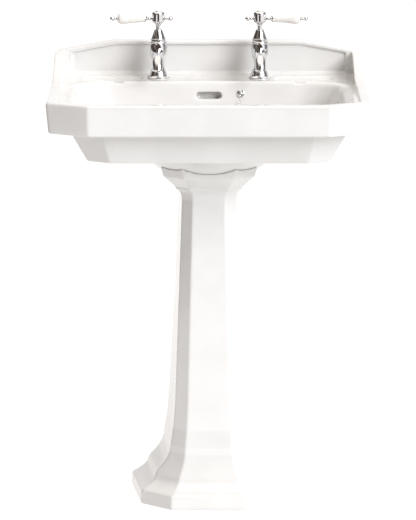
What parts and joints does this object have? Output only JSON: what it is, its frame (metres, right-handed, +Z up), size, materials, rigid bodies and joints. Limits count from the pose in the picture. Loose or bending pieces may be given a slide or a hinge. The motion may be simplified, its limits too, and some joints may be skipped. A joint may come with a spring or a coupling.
{
  "type": "pedestal sink",
  "caption": "Octagonal-fronted vitreous china basin with clipped upstand and sweeping wings on a faceted hollow pedestal, with lever pillar taps, overflow, plug on chain and bottle trap.",
  "frame": {"origin": "on the floor, midway between the front of the rim and the wall, on the plane of symmetry", "axes": "+Z up, -Y towards the user, +Y into the wall, +X to the user's right"},
  "size_m": [0.612, 0.48, 0.9495],
  "materials": {
    "vitreous_china": "gloss glaze",
    "porcelain": "gloss glaze",
    "chrome": "polished",
    "chain_chrome": "polished",
    "brass": "machined",
    "steel": "zinc plated",
    "rubber": "matt",
    "white_plastic": "satin"
  },
  "bodies": {
    "sink": {"basin": "vitreous_china", "pedestal": "vitreous_china", "waste": "chrome", "waste_top_washer": "rubber", "waste_seal": "rubber", "waste_slip_washer": "white_plastic", "waste_back_nut": "brass", "chain": "chain_chrome", "chain_stay": "chrome", "stay_link": "chrome", "stay_nut": "brass", "trap_inlet_seal": "rubber", "trap_inlet_nut": "white_plastic", "trap_body": "white_plastic", "trap_cup_seal": "rubber", "trap_cup": "white_plastic", "trap_outlet_seal": "rubber", "trap_outlet_nut": "white_plastic", "hot_tap_body": "chrome", "hot_deck_washer": "white_plastic", "hot_tophat_washer": "white_plastic", "hot_back_nut": "brass", "hot_cartridge": "brass", "hot_bonnet": "chrome", "cold_tap_body": "chrome", "cold_deck_washer": "white_plastic", "cold_tophat_washer": "white_plastic", "cold_back_nut": "brass", "cold_cartridge": "brass", "cold_bonnet": "chrome"},
    "hot_lever": {"hot_spindle": "chrome", "hot_lever_hub": "chrome", "hot_lever_screw": "steel", "hot_index_button": "porcelain", "hot_lever_rod": "steel", "hot_lever_ferrule": "chrome", "hot_lever_grip": "porcelain", "hot_lever_finial": "chrome", "hot_lever_balance": "chrome"},
    "cold_lever": {"cold_spindle": "chrome", "cold_lever_hub": "chrome", "cold_lever_screw": "steel", "cold_index_button": "porcelain", "cold_lever_rod": "steel", "cold_lever_ferrule": "chrome", "cold_lever_grip": "porcelain", "cold_lever_finial": "chrome", "cold_lever_balance": "chrome"},
    "plug": {"plug": "chrome", "plug_seal": "rubber", "plug_eye": "chrome"}
  },
  "joints": [
    {"name": "hot_lever_turn", "type": "hinge", "parent": "sink", "child": "hot_lever", "pos_m": [-0.1, 0.155, 0.8135], "axis": [0, 0, 1], "range_deg": [0, 90]},
    {"name": "cold_lever_turn", "type": "hinge", "parent": "sink", "child": "cold_lever", "pos_m": [0.1, 0.155, 0.8135], "axis": [0, 0, 1], "range_deg": [-90, 0]},
    {"name": "plug_lift", "type": "slide", "parent": "sink", "child": "plug", "axis": [0, 0, 1], "range_m": [0, 0.06], "deforming": ["chain"]}
  ]
}
